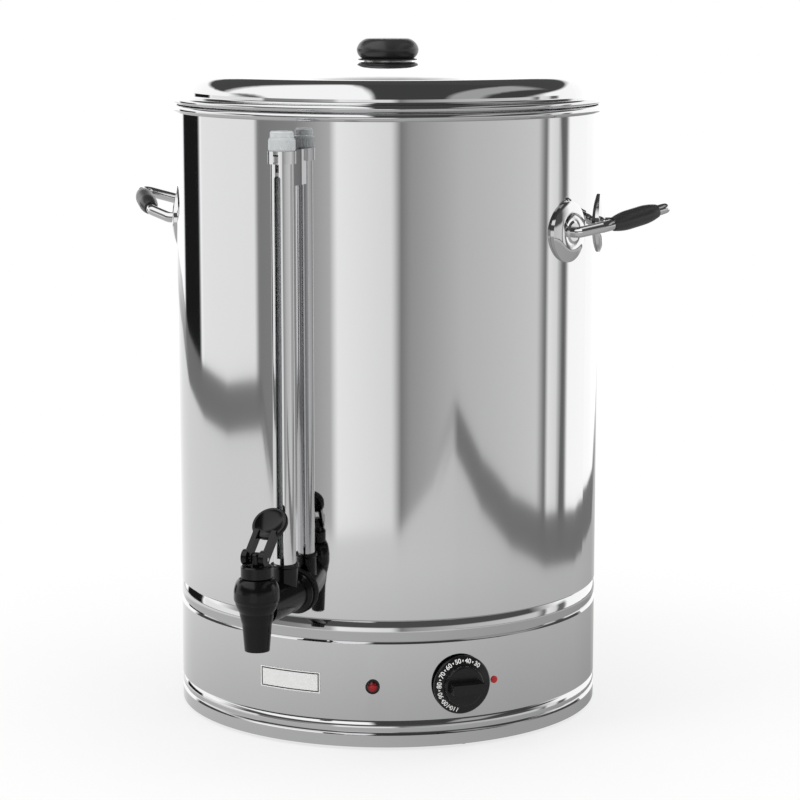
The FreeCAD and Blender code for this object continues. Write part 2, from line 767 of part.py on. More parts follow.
def tapLever():
    pivot = standing(zero, size.tankRadius + size.tapReach, size.pivotHeight)
    lean = FreeCAD.Placement(FreeCAD.Vector(),
        FreeCAD.Rotation(FreeCAD.Vector(1, 0, 0), -size.leverLean.value))
    frame = pivot.multiply(lean)
    inner = size.leverInner
    rail = size.leverRail
    half = size.leverDepth / 2.0
    railTop = size.leverLength - size.padRadius * 0.55
    parts = []
    # The eyes are cams that rest on the bonnet, set off from the pin so that a pull lifts the stem.
    for side, start in (("right", inner), ("left", -inner - rail)):
        eye = cylinder(f"lever_eye_{side}", size.leverEye, rail,
                       along(pivot, start, -size.leverEyeBack, size.leverEyeUp, (1, 0, 0)))
        bar = box(f"lever_rail_{side}", rail, size.leverDepth, railTop, moved(frame, start, -half, 0))
        parts.extend([eye, bar])
    rim = size.padRadius
    thick = size.padThick
    padPlace = along(frame, 0, half, size.leverLength, (0, -1, 0))
    parts.append(turned("lever_pad", [
        (zero, -asSize(0.6)), (rim - 4.0, zero), (rim, asSize(2.0), -asSize(0.5)), (rim, thick - 1.0),
        (rim - 1.0, thick, -asSize(0.25)), (rim - 2.4, thick), (zero, thick - 3.0, asSize(0.9))], padPlace))
    blank = fused("lever_blank", parts)
    pinHole = cylinder("lever_pin_hole", size.pinRadius + size.runningGap, asSize(40),
                       along(pivot, -20, 0, 0, (1, 0, 0)))
    keep(cutBy("tap_lever", blank, [pinHole]), "tap_lever")


def bracketScrewHeight():
    return (size.armLow + size.bracketTop) / 2.0


def sightGauge():
    axis = standing(zero, size.tankRadius + size.gaugeOffset, zero)
    low = size.glassSeat + size.seatGap
    keep(ring("gauge_glass", size.glassRadius, size.glassRadius - size.glassWall, low, size.glassTop, axis),
         "gauge_glass")
    guardInner = size.guardRadius - size.guardWall
    tube = ring("guard_tube", size.guardRadius, guardInner, size.socketTop + size.seatGap,
        size.guardTop, axis)
    slotHalf = size.guardSlot / 2.0
    slot = box("guard_slot", size.guardSlot, size.guardRadius * 2.0, size.slotTop - size.slotLow,
               moved(axis, -slotHalf, -(size.guardRadius * 2.0), size.slotLow))
    slotRound = cylinder("guard_slot_round", slotHalf, size.guardRadius * 2.0,
                         along(axis, 0, 0, size.slotTop, (0, -1, 0)))
    upperSlot = box("guard_upper_slot", asSize(3.0), size.guardRadius * 2.0, asSize(6.0),
                    moved(axis, -1.5, -(size.guardRadius * 2.0), size.slotTop + 5.5))
    keep(cutBy("gauge_guard", tube, [slot, slotRound, upperSlot]), "gauge_guard")
    bore = size.guardRadius + size.seatGap
    shell = turned("bracket_ring", [
        (bore, size.bracketLow), (size.bracketRadius, size.bracketLow),
        (size.bracketRadius, size.bracketTop),
        (size.glassRadius + 0.4, size.bracketTop),
        (size.glassRadius + 0.4, size.bracketTop - size.bracketWall),
        (bore, size.bracketTop - size.bracketWall)], axis)
    armWidth = asSize(12.0)
    armDepth = size.gaugeOffset - bore - 0.6
    arm = box("bracket_arm", armWidth, armDepth, size.bracketTop - size.armLow,
              moved(axis, -(armWidth / 2.0), bore + 0.2, size.armLow))
    windowHalf = asSize(2.3)
    window = box("bracket_window", windowHalf * 2.0, size.bracketRadius * 2.0, asSize(6.0),
                 moved(axis, -windowHalf, -(size.bracketRadius * 2.0), size.bracketLow + 1.4))
    screwBore = cylinder("bracket_screw_bore", asSize(2.0) + size.seatGap, armDepth + 4.0,
                         along(axis, 0, size.guardRadius + 1.5, bracketScrewHeight(), (0, 1, 0)))
    wallTool = cylinder("bracket_wall", size.tankRadius + size.seatGap, asSize(80),
                        standing(zero, zero, size.armLow - 20.0))
    blank = fused("bracket_blank", [shell, arm])
    keep(cutBy("gauge_bracket", blank, [window, screwBore, wallTool]), "gauge_bracket")
    out = facing(zero, size.tankRadius, bracketScrewHeight())
    inward = FreeCAD.Placement(FreeCAD.Vector(), FreeCAD.Rotation(FreeCAD.Vector(1, 0, 0), 180))
    headSeat = moved(out, 0, 0, -(size.tankSheet + size.seatGap + 0.2)).multiply(inward)
    keep(screw("gauge_bracket_screw", asSize(2.0), asSize(9.0), asSize(4.5), asSize(2.4), headSeat),
         "gauge_bracket_screw")
    capLow = size.bracketTop + size.seatGap
    glassRoom = size.glassRadius + 0.3
    keep(turned("gauge_cap", [
        (glassRoom, capLow), (size.capRadius, capLow), (size.capRadius, size.capMiddle),
        (size.capShoulder, size.capMiddle + 0.8), (size.capShoulder, size.capTop - 1.0),
        (size.capShoulder - 1.0, size.capTop), (zero, size.capTop), (zero, size.glassTop + 3.0),
        (glassRoom, size.glassTop + 3.0)], axis), "gauge_cap")
    sealInner = size.glassRadius + size.runningGap
    lower = ring("gauge_seal_lower", size.glassRadius + 1.5, sealInner, size.glassSeat + 1.0,
        size.socketTop, axis)
    upper = ring("gauge_seal_upper", size.guardRadius - size.guardWall - 0.2, sealInner,
        size.guardTop - 4.0,
                 size.guardTop, axis)
    keep(grouped("gauge_seals", [lower, upper]), "gauge_seals")


def thermostat():
    place = facing(size.dialAzimuth, size.tankRadius, size.controlHeight)
    bottom = size.dialStandOff
    skirtTop = bottom + size.dialSkirt
    roof = bottom + 2.6
    bore = size.shaftRadius + size.runningGap * 0.5
    shaftTop = size.dialHubTop + 2.0
    knob = turned("dial_blank", [
        (size.dialHollow, bottom), (size.dialRadius, bottom), (size.dialRadius, bottom + 1.4),
        (size.dialRadius - 0.8, bottom + 2.2), (size.dialHub + 0.6, skirtTop),
        (size.dialHub, size.dialHubTop - 1.2),
        (size.dialHub - 1.2, size.dialHubTop, -asSize(0.3)), (zero, size.dialHubTop),
        (zero, shaftTop - 5.0),
        (bore, shaftTop - 5.0), (bore, roof), (size.dialHollow, roof)], place)
    gripHalf = size.dialHub - 3.0
    width = size.dialGripWidth
    corners = [(-gripHalf, -(width / 2.0)), (gripHalf, -(width / 2.0)),
        (gripHalf, width / 2.0, -asSize(1.6)),
               (-gripHalf, width / 2.0), (-gripHalf, -(width / 2.0), -asSize(1.6))][:-1]
    grip = plate("dial_grip", [corners], size.dialGripTop - size.dialHubTop + 2.0,
                 moved(place, 0, 0, size.dialHubTop - 2.0))
    shaftHole = cylinder("dial_shaft_hole", bore, shaftTop - bottom + 0.2, moved(place, 0, 0, bottom - 0.1))
    keep(cutBy("thermostat_dial", fused("dial_solid", [knob, grip]), [shaftHole]), "thermostat_dial")
    inner = -(size.skirtSheet + 1.6 + size.seatGap)
    shaftLow = inner - 8.0
    keep(cylinder("thermostat_shaft", size.shaftRadius, shaftTop - shaftLow, moved(place, 0, 0, shaftLow)),
         "thermostat_shaft")
    side = size.thermostatWidth
    case = box("thermostat_case", side, side, size.thermostatDepth,
               moved(place, -(side / 2.0), -(side / 2.0), inner - size.thermostatDepth))
    bush = cylinder("thermostat_bush", size.bushRadius, -inner + 2.2, moved(place, 0, 0, inner))
    bushBore = cylinder("thermostat_bore", size.shaftRadius + size.runningGap, asSize(24),
                        moved(place, 0, 0, shaftLow - 0.5))
    keep(cutBy("thermostat_body", fused("thermostat_solid", [case, bush]), [bushBore]), "thermostat_body")
    keep(hexNut("thermostat_nut", asSize(14.0), size.bushRadius + size.seatGap * 0.5, asSize(1.8),
                moved(place, 0, 0, asSize(0.3))), "thermostat_nut")


def pilotLamp():
    place = facing(size.pilotAzimuth, size.tankRadius, size.controlHeight)
    low = size.seatGap
    bezelTop = asSize(1.5)
    keep(ring("pilot_bezel", size.pilotRadius, size.pilotRadius - 1.1, low, bezelTop, place), "pilot_bezel")
    lensRadius = size.pilotRadius - 1.2
    keep(turned("pilot_lens", [
        (zero, low), (lensRadius, low), (lensRadius, bezelTop),
        (asSize(1.0), bezelTop + 1.8, -asSize(0.45)),
        (zero, bezelTop + 1.8)], place),
        "pilot_lens")
    keep(disc("pilot_body", size.pilotBody, -size.pilotBodyDepth, zero, place), "pilot_body")
    dot = facing(size.indexAzimuth, size.tankRadius, size.controlHeight)
    keep(turned("dial_index_mark", [
        (zero, size.seatGap), (size.indexRadius, size.seatGap), (size.indexRadius, asSize(0.5)),
        (asSize(1.6), asSize(1.0)), (zero, asSize(1.0))], dot), "dial_index_mark")


def ratingPlate():
    inner = size.tankRadius + size.seatGap
    angle = size.plateWidth / size.tankRadius * (180.0 / math.pi)
    low = size.plateCentre - size.plateHeight / 2.0
    turn = FreeCAD.Rotation(FreeCAD.Vector(0, 0, 1), (size.plateAzimuth - angle / 2.0 - 90.0).value)
    place = FreeCAD.Placement(FreeCAD.Vector(0, 0, low.value), turn)
    sector = cylinder("rating_sector", inner + size.plateThick, size.plateHeight, place)
    bind(sector, Angle=angle)
    core = cylinder("rating_core", inner, size.plateHeight + 2.0,
                    FreeCAD.Placement(FreeCAD.Vector(0, 0, low.value - 1), FreeCAD.Rotation()))
    keep(cutBy("rating_plate", sector, [core]), "rating_plate")


def elementBush():
    return size.elementTube + 2.0


def elementLegs():
    # Azimuth and radius of the two legs, one bend radius behind the ends of the ring.
    ringRadius = size.elementRing.value
    bend = size.elementBend.value
    shift = math.degrees(math.atan2(bend, ringRadius))
    radius = asSize(math.hypot(bend, ringRadius))
    split = size.elementSplit.value
    return [(asSize(180 + split - shift), radius), (asSize(180 - split + shift), radius)]


def heating():
    ringRadius = size.elementRing.value
    bend = size.elementBend.value
    height = (size.tankFloorHeight + size.elementLift).value
    low = size.tankFloorHeight.value - 16
    split = size.elementSplit.value

    def spot(azimuth, back, z):
        angle = math.radians(azimuth)
        return FreeCAD.Vector(ringRadius * math.sin(angle) - back * math.cos(angle),
                              -ringRadius * math.cos(angle) - back * math.sin(angle), z)

    behind = bend * math.sqrt(0.5)
    above = height - bend + behind
    first = 180 + split
    last = 540 - split
    edges = [
        Part.LineSegment(spot(first, bend, low), spot(first, bend, height - bend)).toShape(),
        Part.Arc(spot(first, bend, height - bend), spot(first, behind, above),
        spot(first, 0, height)).toShape(),
        Part.Arc(spot(first, 0, height), spot((first + last) / 2, 0, height),
        spot(last, 0, height)).toShape(),
        Part.Arc(spot(last, 0, height), spot(last, -behind, above),
        spot(last, -bend, height - bend)).toShape(),
        Part.LineSegment(spot(last, -bend, height - bend), spot(last, -bend, low)).toShape()]
    keep(swept("heating_element", Part.Wire(edges), size.elementTube.value), "heating_element")
    bushes = []
    seals = []
    nuts = []
    bore = size.elementTube + size.runningGap
    bushRadius = elementBush()
    under = size.tankFloorHeight
    top = under + size.tankSheet
    for index, (azimuth, radius) in enumerate(elementLegs()):
        place = standing(azimuth, radius, zero)
        bushes.append(turned(f"element_bush_{index}", [
            (bore, under - 10.0), (bushRadius, under - 10.0), (bushRadius, top + 1.7),
            (bushRadius + 3.0, top + 1.7),
            (bushRadius + 3.0, top + 4.2), (bore, top + 4.2)], place))
        seals.append(ring(f"element_seal_{index}", bushRadius + 3.0, bushRadius + size.seatGap,
                          top + size.seatGap, top + 1.6, place))
        nuts.append(hexNut(f"element_nut_{index}", asSize(19.0), bushRadius + size.seatGap, asSize(5.0),
                           moved(place, 0, 0, under - 5.0 - size.seatGap)))
    keep(grouped("element_bushes", bushes), "element_bushes")
    keep(grouped("element_seals", seals), "element_seals")
    keep(grouped("element_nuts", nuts), "element_nuts")


def probe():
    place = standing(size.dialAzimuth, size.probeCircle, zero)
    under = size.tankFloorHeight
    top = under + size.tankSheet
    gland = turned("probe_gland", [
        (asSize(1.6), under - 9.0), (asSize(4.0), under - 9.0), (asSize(4.0), top + size.seatGap),
        (asSize(7.5), top + size.seatGap), (asSize(7.5), top + 3.0), (asSize(4.5), top + 6.0),
        (asSize(1.6), top + 6.0)],
        place)
    keep(gland, "probe_gland")
    keep(hexNut("probe_gland_nut", asSize(12.0), asSize(4.0) + size.seatGap, asSize(4.0),
                moved(place, 0, 0, under - 4.0 - size.seatGap)), "probe_gland_nut")
    wallSide = size.tankRadius - size.skirtSheet - 1.6 - size.seatGap - size.thermostatDepth
    out = facing(size.dialAzimuth, zero, zero)
    rise = (top + 14.0).value
    height = (size.controlHeight + 10.0).value
    line = [out.multVec(FreeCAD.Vector(0, height, wallSide.value - 0.1)),
            out.multVec(FreeCAD.Vector(0, height, size.probeCircle.value)),
            out.multVec(FreeCAD.Vector(0, rise, size.probeCircle.value)),
            out.multVec(FreeCAD.Vector(20, rise, size.probeCircle.value))]
    capillary = swept("capillary_tube", bentPath(line, [8.0, 8.0]), 1.2)
    bulb = cylinder("probe_bulb", size.probeRadius, size.probeLength,
                    along(out, 19.5, rise, size.probeCircle, (1, 0, 0)))
    keep(fused("thermostat_probe", [capillary, bulb]), "thermostat_probe")


def baseWiring():
    under = size.tankFloorHeight - size.seatGap
    cut = turned("thermal_cutout", [
        (zero, under - 12.0), (asSize(7.0), under - 12.0), (asSize(7.0), under - 5.0),
        (asSize(11.0), under - 5.0),
        (asSize(11.0), under), (zero, under)], standing(asSize(-60), asSize(60), zero))
    keep(cut, "thermal_cutout")
    plateTop = size.footStand + size.skirtSheet + size.seatGap + size.plateSheet + size.seatGap
    block = box("terminal_case", asSize(44), asSize(20), asSize(16),
        moved(standing(asSize(180), asSize(125), plateTop),
                                                                          -22, -10, 0))
    holes = []
    for index in range(3):
        holes.append(cylinder(f"terminal_hole_{index}", asSize(3.0), asSize(8),
                              moved(standing(asSize(180), asSize(125), plateTop), 14 * (index - 1), 0, 9)))
    keep(cutBy("terminal_block", block, holes), "terminal_block")
    keep(turned("earth_stud", [
        (zero, plateTop), (asSize(6.0), plateTop), (asSize(6.0), plateTop + 3.0),
        (asSize(2.5), plateTop + 3.0),
        (asSize(2.5), plateTop + 14.0), (zero, plateTop + 14.0)], standing(asSize(150), asSize(120), zero)),
        "earth_stud")
    back = facing(asSize(180), size.tankRadius, size.glandHeight)
    keep(turned("cable_gland", [
        (asSize(4.0), -asSize(14.0)), (size.glandRadius, -asSize(14.0)),
        (size.glandRadius, size.seatGap + 0.2),
        (asSize(12.0), size.seatGap + 0.2), (asSize(12.0), asSize(6.0)), (asSize(9.5), asSize(12.0)),
        (asSize(7.0), asSize(15.0), -asSize(0.6)), (asSize(4.0), asSize(15.0))], back), "cable_gland")
    inner = -(size.beadDepth + size.skirtSheet + size.seatGap)
    keep(hexNut("cable_gland_nut", asSize(22.0), size.glandRadius + size.seatGap, asSize(4.0),
                moved(back, 0, 0, inner - 4.0)), "cable_gland_nut")


tankShell()
baseSkirt()
basePlate()
lidDome()
handle("right", 90, 1)
handle("left", 270, -1)
tapBody()
tapFixings()
tapTop()
tapLever()
sightGauge()
thermostat()
pilotLamp()
ratingPlate()
heating()
probe()
baseWiring()
document.recompute()

for item in document.Objects:
    if "Invalid" in item.State or "Error" in item.State:
        raise RuntimeError(f"{item.Label} did not build: {item.State}")

os.makedirs("parts", exist_ok=True)
for item in nodes:
    shape = item.Shape
    if shape.isNull() or not shape.isValid() or shape.Volume <= 0:
        raise RuntimeError(f"{item.Label} is not a sound solid")
    shape.exportStep(f"parts/{item.Label}.step")
print(len(nodes), "nodes written")
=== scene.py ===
import math

import bpy
from mathutils import Matrix, Vector


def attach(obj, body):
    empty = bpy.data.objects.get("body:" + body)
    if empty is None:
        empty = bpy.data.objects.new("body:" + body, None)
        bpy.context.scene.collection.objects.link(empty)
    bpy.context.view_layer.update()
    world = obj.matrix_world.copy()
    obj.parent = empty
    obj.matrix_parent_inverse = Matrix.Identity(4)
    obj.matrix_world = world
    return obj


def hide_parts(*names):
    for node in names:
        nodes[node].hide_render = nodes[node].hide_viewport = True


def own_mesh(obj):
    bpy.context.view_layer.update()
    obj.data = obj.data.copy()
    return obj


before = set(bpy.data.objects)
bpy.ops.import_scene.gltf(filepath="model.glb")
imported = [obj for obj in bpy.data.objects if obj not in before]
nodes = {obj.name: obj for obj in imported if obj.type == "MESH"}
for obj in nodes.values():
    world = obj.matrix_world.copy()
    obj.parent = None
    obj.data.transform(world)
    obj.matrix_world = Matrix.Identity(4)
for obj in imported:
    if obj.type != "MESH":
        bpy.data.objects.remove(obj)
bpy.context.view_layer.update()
print("frame loaded:", len(nodes), "nodes")

mm = 0.001


def hexColour(text):
    # sRGB hex to the linear values that Blender mixes in
    parts = [int(text[i:i + 2], 16) / 255 for i in (1, 3, 5)]
    return tuple(c / 12.92 if c <= 0.04045 else ((c + 0.055) / 1.055) ** 2.4 for c in parts) + (1.0,)


def addNode(tree, kind, settings=None, links=None):
    # one node with its settings; a setting that names a socket sets the socket
    node = tree.nodes.new(kind)
    for name, value in (settings or {}).items():
        if isinstance(name, int) or name in node.inputs:
            node.inputs[name].default_value = value
        else:
            setattr(node, name, value)
    for name, source in (links or {}).items():
        tree.links.new(source, node.inputs[name])
    return node


def newMaterial(name, settings):
    # a material with one Principled shader; returns both and the node tree
    material = bpy.data.materials.new(name)
    material.use_nodes = True
    tree = material.node_tree
    tree.nodes.clear()
    shader = addNode(tree, "ShaderNodeBsdfPrincipled", settings)
    addNode(tree, "ShaderNodeOutputMaterial", links={"Surface": shader.outputs[0]})
    return material, tree, shader


def wallFrame(azimuth, radius, height):
    # local X runs round the wall, Y is up and Z points out of it; lengths in mm
    a = math.radians(azimuth)
    out = Vector((math.sin(a), -math.cos(a), 0))
    side = Vector((math.cos(a), math.sin(a), 0))
    m = Matrix((side, Vector((0, 0, 1)), out)).transposed().to_4x4()
    m.translation = (out * radius + Vector((0, 0, height))) * mm
    return m


def meshPiece(name, points, faces, material, body, smooth=True):
    mesh = bpy.data.meshes.new(name)
    mesh.from_pydata([tuple(p) for p in points], [], faces)
    mesh.validate()
    mesh.update()
    for face in mesh.polygons:
        face.use_smooth = smooth
    piece = bpy.data.objects.new(name, mesh)
    bpy.context.scene.collection.objects.link(piece)
    mesh.materials.append(material)
    if body:
        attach(piece, body)
    return piece


stainless = {"colour": "#DCDCDD", "roughness": 0.045, "wave": 0.02, "waveScale": 9.0, "waveDepth": 0.002}
# the red pilot lens: its place, and painted shade from its red middle to a nearly black rim
pilotRed = {"azimuth": 20.2, "radius": 180.0, "height": 54.0, "inner": 2.0, "outer": 4.4,
            "middleColour": "#960E18", "paintedShadeRimColour": "#1C0304", "roughness": 0.1, "ior": 1.49}


def polishedStainless():
    # cold rolled 304 sheet, polished to a mirror: clear dark reflections with a very slight ripple
    material, tree, shader = newMaterial("polished_stainless", {
        "Base Color": hexColour(stainless["colour"]), "Metallic": 1.0, "Roughness": stainless["roughness"]})
    place = addNode(tree, "ShaderNodeTexCoord")
    ripple = addNode(tree, "ShaderNodeTexNoise", {"Scale": stainless["waveScale"], "Detail": 1.0},
                     {"Vector": place.outputs["Object"]})
    bump = addNode(tree, "ShaderNodeBump",
                   {"Strength": stainless["wave"], "Distance": stainless["waveDepth"]},
                   {"Height": ripple.outputs["Fac"]})
    tree.links.new(bump.outputs["Normal"], shader.inputs["Normal"])
    return material


def plainMetal(name, colour, roughness):
    return newMaterial(name, {
        "Base Color": hexColour(colour), "Metallic": 1.0, "Roughness": roughness})[0]


def mouldedPlastic(name, colour, roughness, shine, grain, depth):
    # moulded in a spark finished die: a fine pebble that breaks up the highlight
    material, tree, shader = newMaterial(name, {
        "Base Color": hexColour(colour), "Roughness": roughness, "IOR": 1.5, "Specular IOR Level": shine})
    place = addNode(tree, "ShaderNodeTexCoord")
    pebble = addNode(tree, "ShaderNodeTexNoise", {"Scale": 1 / (grain * mm), "Detail": 2.0},
                     {"Vector": place.outputs["Object"]})
    bump = addNode(tree, "ShaderNodeBump", {"Strength": 0.5, "Distance": depth * mm},
                   {"Height": pebble.outputs["Fac"]})
    tree.links.new(bump.outputs["Normal"], shader.inputs["Normal"])
    return material


def lampLens():
    # clear red acrylic with painted shade: its own red in the middle, darkening to nearly black at the rim
    p = pilotRed
    material, tree, shader = newMaterial("clear_red_acrylic", {"Roughness": p["roughness"], "IOR": p["ior"]})
    place = wallFrame(p["azimuth"], p["radius"], p["height"])
    way = addNode(tree, "ShaderNodeTexCoord")
    offset = addNode(tree, "ShaderNodeVectorMath",
                     {"operation": "SUBTRACT", 1: place.translation}, {0: way.outputs["Object"]})
    across = addNode(tree, "ShaderNodeVectorMath",
                     {"operation": "CROSS_PRODUCT", 1: place.to_3x3().col[2]}, {0: offset.outputs["Vector"]})
    reach = addNode(tree, "ShaderNodeVectorMath", {"operation": "LENGTH"}, {0: across.outputs["Vector"]})
    # painted shade: the colour goes nearly black towards the lens's rim
    rim = addNode(tree, "ShaderNodeMapRange", {"From Min": p["inner"] * mm, "From Max": p["outer"] * mm},
                  {"Value": reach.outputs["Value"]})
    mix = addNode(tree, "ShaderNodeMix",
                  {"data_type": "RGBA", 6: hexColour(p["middleColour"]), 7: hexColour(p["paintedShadeRimColour"])},
                  {0: rim.outputs["Result"]})
    tree.links.new(mix.outputs[2], shader.inputs["Base Color"])
    return material


def clearGlass():
    # drawn borosilicate tube, a thin clear wall that shows the steel behind it, with a pale sheen painted
    # into its colour
    return newMaterial("borosilicate_glass", {
        "Base Color": hexColour("#C8CDCD"), "Roughness": 0.04, "IOR": 1.47, "Alpha": 0.3})[0]


steelSheet = polishedStainless()
chromePlate = plainMetal("chrome_plated_steel", "#DFDFE0", 0.05)
turnedSteel = plainMetal("turned_stainless", "#C9C9C8", 0.22)
zincSteel = plainMetal("zinc_plated_steel", "#BFC1C2", 0.3)
brassTurned = plainMetal("turned_brass", "#C9A75A", 0.25)
copperDrawn = plainMetal("drawn_copper", "#C98862", 0.3)
heaterSheath = plainMetal("annealed_heater_sheath", "#A9A59E", 0.35)
# roughness, share of shine, then the width and depth of the die's grain in mm
# painted light: a lighter grey copy of the black moulded phenolic, for the lid knob and the handle grips
lighterPhenolicCopy = mouldedPlastic("phenolic_painted_lighter", "#2A2929", 0.3, 0.5, 0.9, 0.01)
phenolic = mouldedPlastic("moulded_phenolic", "#121112", 0.26, 0.4, 0.9, 0.012)
tapPlastic = mouldedPlastic("moulded_polypropylene", "#080808", 0.2, 0.35, 0.9, 0.012)
blackRubber = mouldedPlastic("moulded_nitrile_rubber", "#121212", 0.6, 0.3, 0.5, 0.03)
silicone = mouldedPlastic("moulded_silicone", "#DAD8D2", 0.5, 0.5, 0.8, 0.01)
frostedCap = newMaterial("moulded_polycarbonate", {
    "Base Color": hexColour("#D5D9DA"), "Roughness": 0.22, "IOR": 1.58, "Transmission Weight": 0.25})[0]
redLens = lampLens()


def matt(name, colour, roughness, ior):
    return newMaterial(name, {"Base Color": hexColour(colour), "Roughness": roughness, "IOR": ior})[0]


redPaint = matt("screen_printed_red", "#A80D12", 0.4, 1.5)
whitePaint = matt("screen_printed_white", "#E6E6E4", 0.45, 1.5)
blackPaint = matt("screen_printed_black", "#101010", 0.45, 1.5)
creamCeramic = matt("fired_steatite", "#D9D2C1", 0.45, 1.6)
labelFilm = matt("printed_polyester_label", "#E2E2E1", 0.4, 1.5)
glass = clearGlass()

finishes = {
    steelSheet: ["tank_shell", "base_skirt", "lid_dome", "gauge_guard", "gauge_bracket"],
    chromePlate: ["handle_rod_right", "handle_rod_left", "handle_flanges_right", "handle_flanges_left"],
    turnedSteel: ["base_plate", "lid_knob_washer", "handle_nuts_right", "handle_nuts_left", "tap_lever_pin",
                  "tap_spring", "tap_lock_nut", "gauge_bracket_screw", "thermostat_shaft"],
    zincSteel: ["base_plate_screws", "lid_knob_screw", "thermostat_nut"],
    brassTurned: ["probe_gland", "probe_gland_nut", "element_bushes", "element_nuts", "earth_stud"],
    copperDrawn: ["thermostat_probe"],
    heaterSheath: ["heating_element"],
    labelFilm: ["rating_plate"],
    phenolic: ["thermostat_dial"],
    lighterPhenolicCopy: ["lid_knob", "handle_grip_right", "handle_grip_left"],
    tapPlastic: ["tap_body", "tap_bonnet", "tap_stem", "tap_lever", "cable_gland", "cable_gland_nut",
                 "pilot_bezel", "pilot_body", "terminal_block"],
    blackRubber: ["rubber_feet", "tap_washer_outer"],
    silicone: ["tap_washer_inner", "tap_seat_cup", "gauge_seals", "element_seals", "handle_washers_right",
               "handle_washers_left"],
    frostedCap: ["gauge_cap"],
    glass: ["gauge_glass"],
    redLens: ["pilot_lens"],
    redPaint: ["dial_index_mark"],
    creamCeramic: ["thermostat_body", "thermal_cutout"],
}
for material, names in finishes.items():
    for name in names:
        mesh = nodes[name].data
        mesh.materials.clear()
        mesh.materials.append(material)
print("materials set on", sum(len(names) for names in finishes.values()), "nodes")


# the numbers run against the clock, so that turning the dial clockwise brings the higher ones to the dot
dialPrint = {"azimuth": 43.3, "radius": 180.0, "height": 54.0, "first": 37.0, "step": -24.5,
             "numbers": range(30, 120, 10), "circle": 20.3, "size": 5.4, "inner": 17.1, "outer": 23.5,
             "innerLift": 6.4, "outerLift": 4.6, "tickSize": 1.5, "lift": 0.04, "thick": 0.02,
             "bolder": 0.0001}


def dialMarks():
    d = dialPrint
    place = wallFrame(d["azimuth"], d["radius"], d["height"])
    slope = math.atan2(d["innerLift"] - d["outerLift"], d["outer"] - d["inner"])
    middle = (d["innerLift"] + d["outerLift"]) / 2 + d["lift"]

    def spot(turn):
        # a small frame on the sloping skirt, turned clockwise from the top, its Y pointing to the rim
        return (place @ Matrix.Rotation(-math.radians(turn), 4, "Z")
                @ Matrix.Translation((0, d["circle"] * mm, middle * mm)) @ Matrix.Rotation(-slope, 4, "X"))

    for index, number in enumerate(d["numbers"]):
        turn = d["first"] + index * d["step"]
        text = bpy.data.curves.new(f"dial_number_{number}", "FONT")
        text.body = str(number)
        text.size = d["size"] * mm
        text.align_x = "CENTER"
        text.align_y = "CENTER"
        text.extrude = d["thick"] * mm
        text.offset = d["bolder"]
        holder = bpy.data.objects.new(f"dial_number_{number}_text", text)
        bpy.context.scene.collection.objects.link(holder)
        bpy.context.view_layer.update()
        mesh = bpy.data.meshes.new_from_object(holder)
        bpy.data.objects.remove(holder)
        mesh.transform(spot(turn))
        mesh.materials.clear()
        mesh.materials.append(whitePaint)
        piece = bpy.data.objects.new(f"dial_number_{number}", mesh)
        bpy.context.scene.collection.objects.link(piece)
        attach(piece, "thermostat_dial")
    points = []
    faces = []
    for index in range(len(d["numbers"]) - 1):
        m = spot(d["first"] + (index + 0.5) * d["step"])
        s = d["tickSize"]
        start = len(points)
        for x, y in ((-0.5, 0.6), (0.5, 0.6), (0, -0.7)):
            for z in (d["thick"], -d["thick"]):
                points.append(m @ (Vector((x * s, y * s, z)) * mm))
        faces += [(start + 4, start + 2, start), (start + 1, start + 3, start + 5),
                  (start, start + 1, start + 5, start + 4), (start + 4, start + 5, start + 3, start + 2),
                  (start + 2, start + 3, start + 1, start)]
    meshPiece("dial_ticks", points, faces, whitePaint, "thermostat_dial", smooth=False)


dialMarks()
print("dial marks drawn")

# the coil spring that shuts the tap, in place of the plain sleeve of the solids
coil = {"reach": 252.0, "low": 136.3, "high": 156.2, "radius": 5.9, "wire": 0.6, "turns": 7.0, "perTurn": 28,
        "round": 8, "lift": 2.0}


def coilSpring():
    c = coil
    steps = int(c["turns"] * c["perTurn"])
    centre = Vector((0, -c["reach"], 0))
    points = []
    faces = []
    for step in range(steps + 1):
        share = step / steps
        turn = 2 * math.pi * c["turns"] * share
        out = Vector((math.cos(turn), math.sin(turn), 0))
        height = c["low"] + c["wire"] + share * (c["high"] - c["low"] - 2 * c["wire"])
        for side in range(c["round"]):
            a = 2 * math.pi * side / c["round"]
            spot = centre + out * (c["radius"] + c["wire"] * math.cos(a))
            points.append((spot + Vector((0, 0, height + c["wire"] * math.sin(a)))) * mm)
    for step in range(steps):
        for side in range(c["round"]):
            after = (side + 1) % c["round"]
            low = step * c["round"]
            high = low + c["round"]
            faces.append((low + side, high + side, high + after, low + after))
    faces.append(tuple(range(c["round"])))
    faces.append(tuple(reversed(range(steps * c["round"], (steps + 1) * c["round"]))))
    piece = meshPiece("tap_coil_spring", points, faces, turnedSteel, "casing")
    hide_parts("tap_spring")
    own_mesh(piece)


# fine ribs round the lower part of the gauge cap, for the fingers
ribs = {"reach": 202.0, "low": 488.6, "high": 496.8, "inner": 10.2, "valley": 10.4, "crest": 10.75,
        "count": 44, "runOut": 0.5}


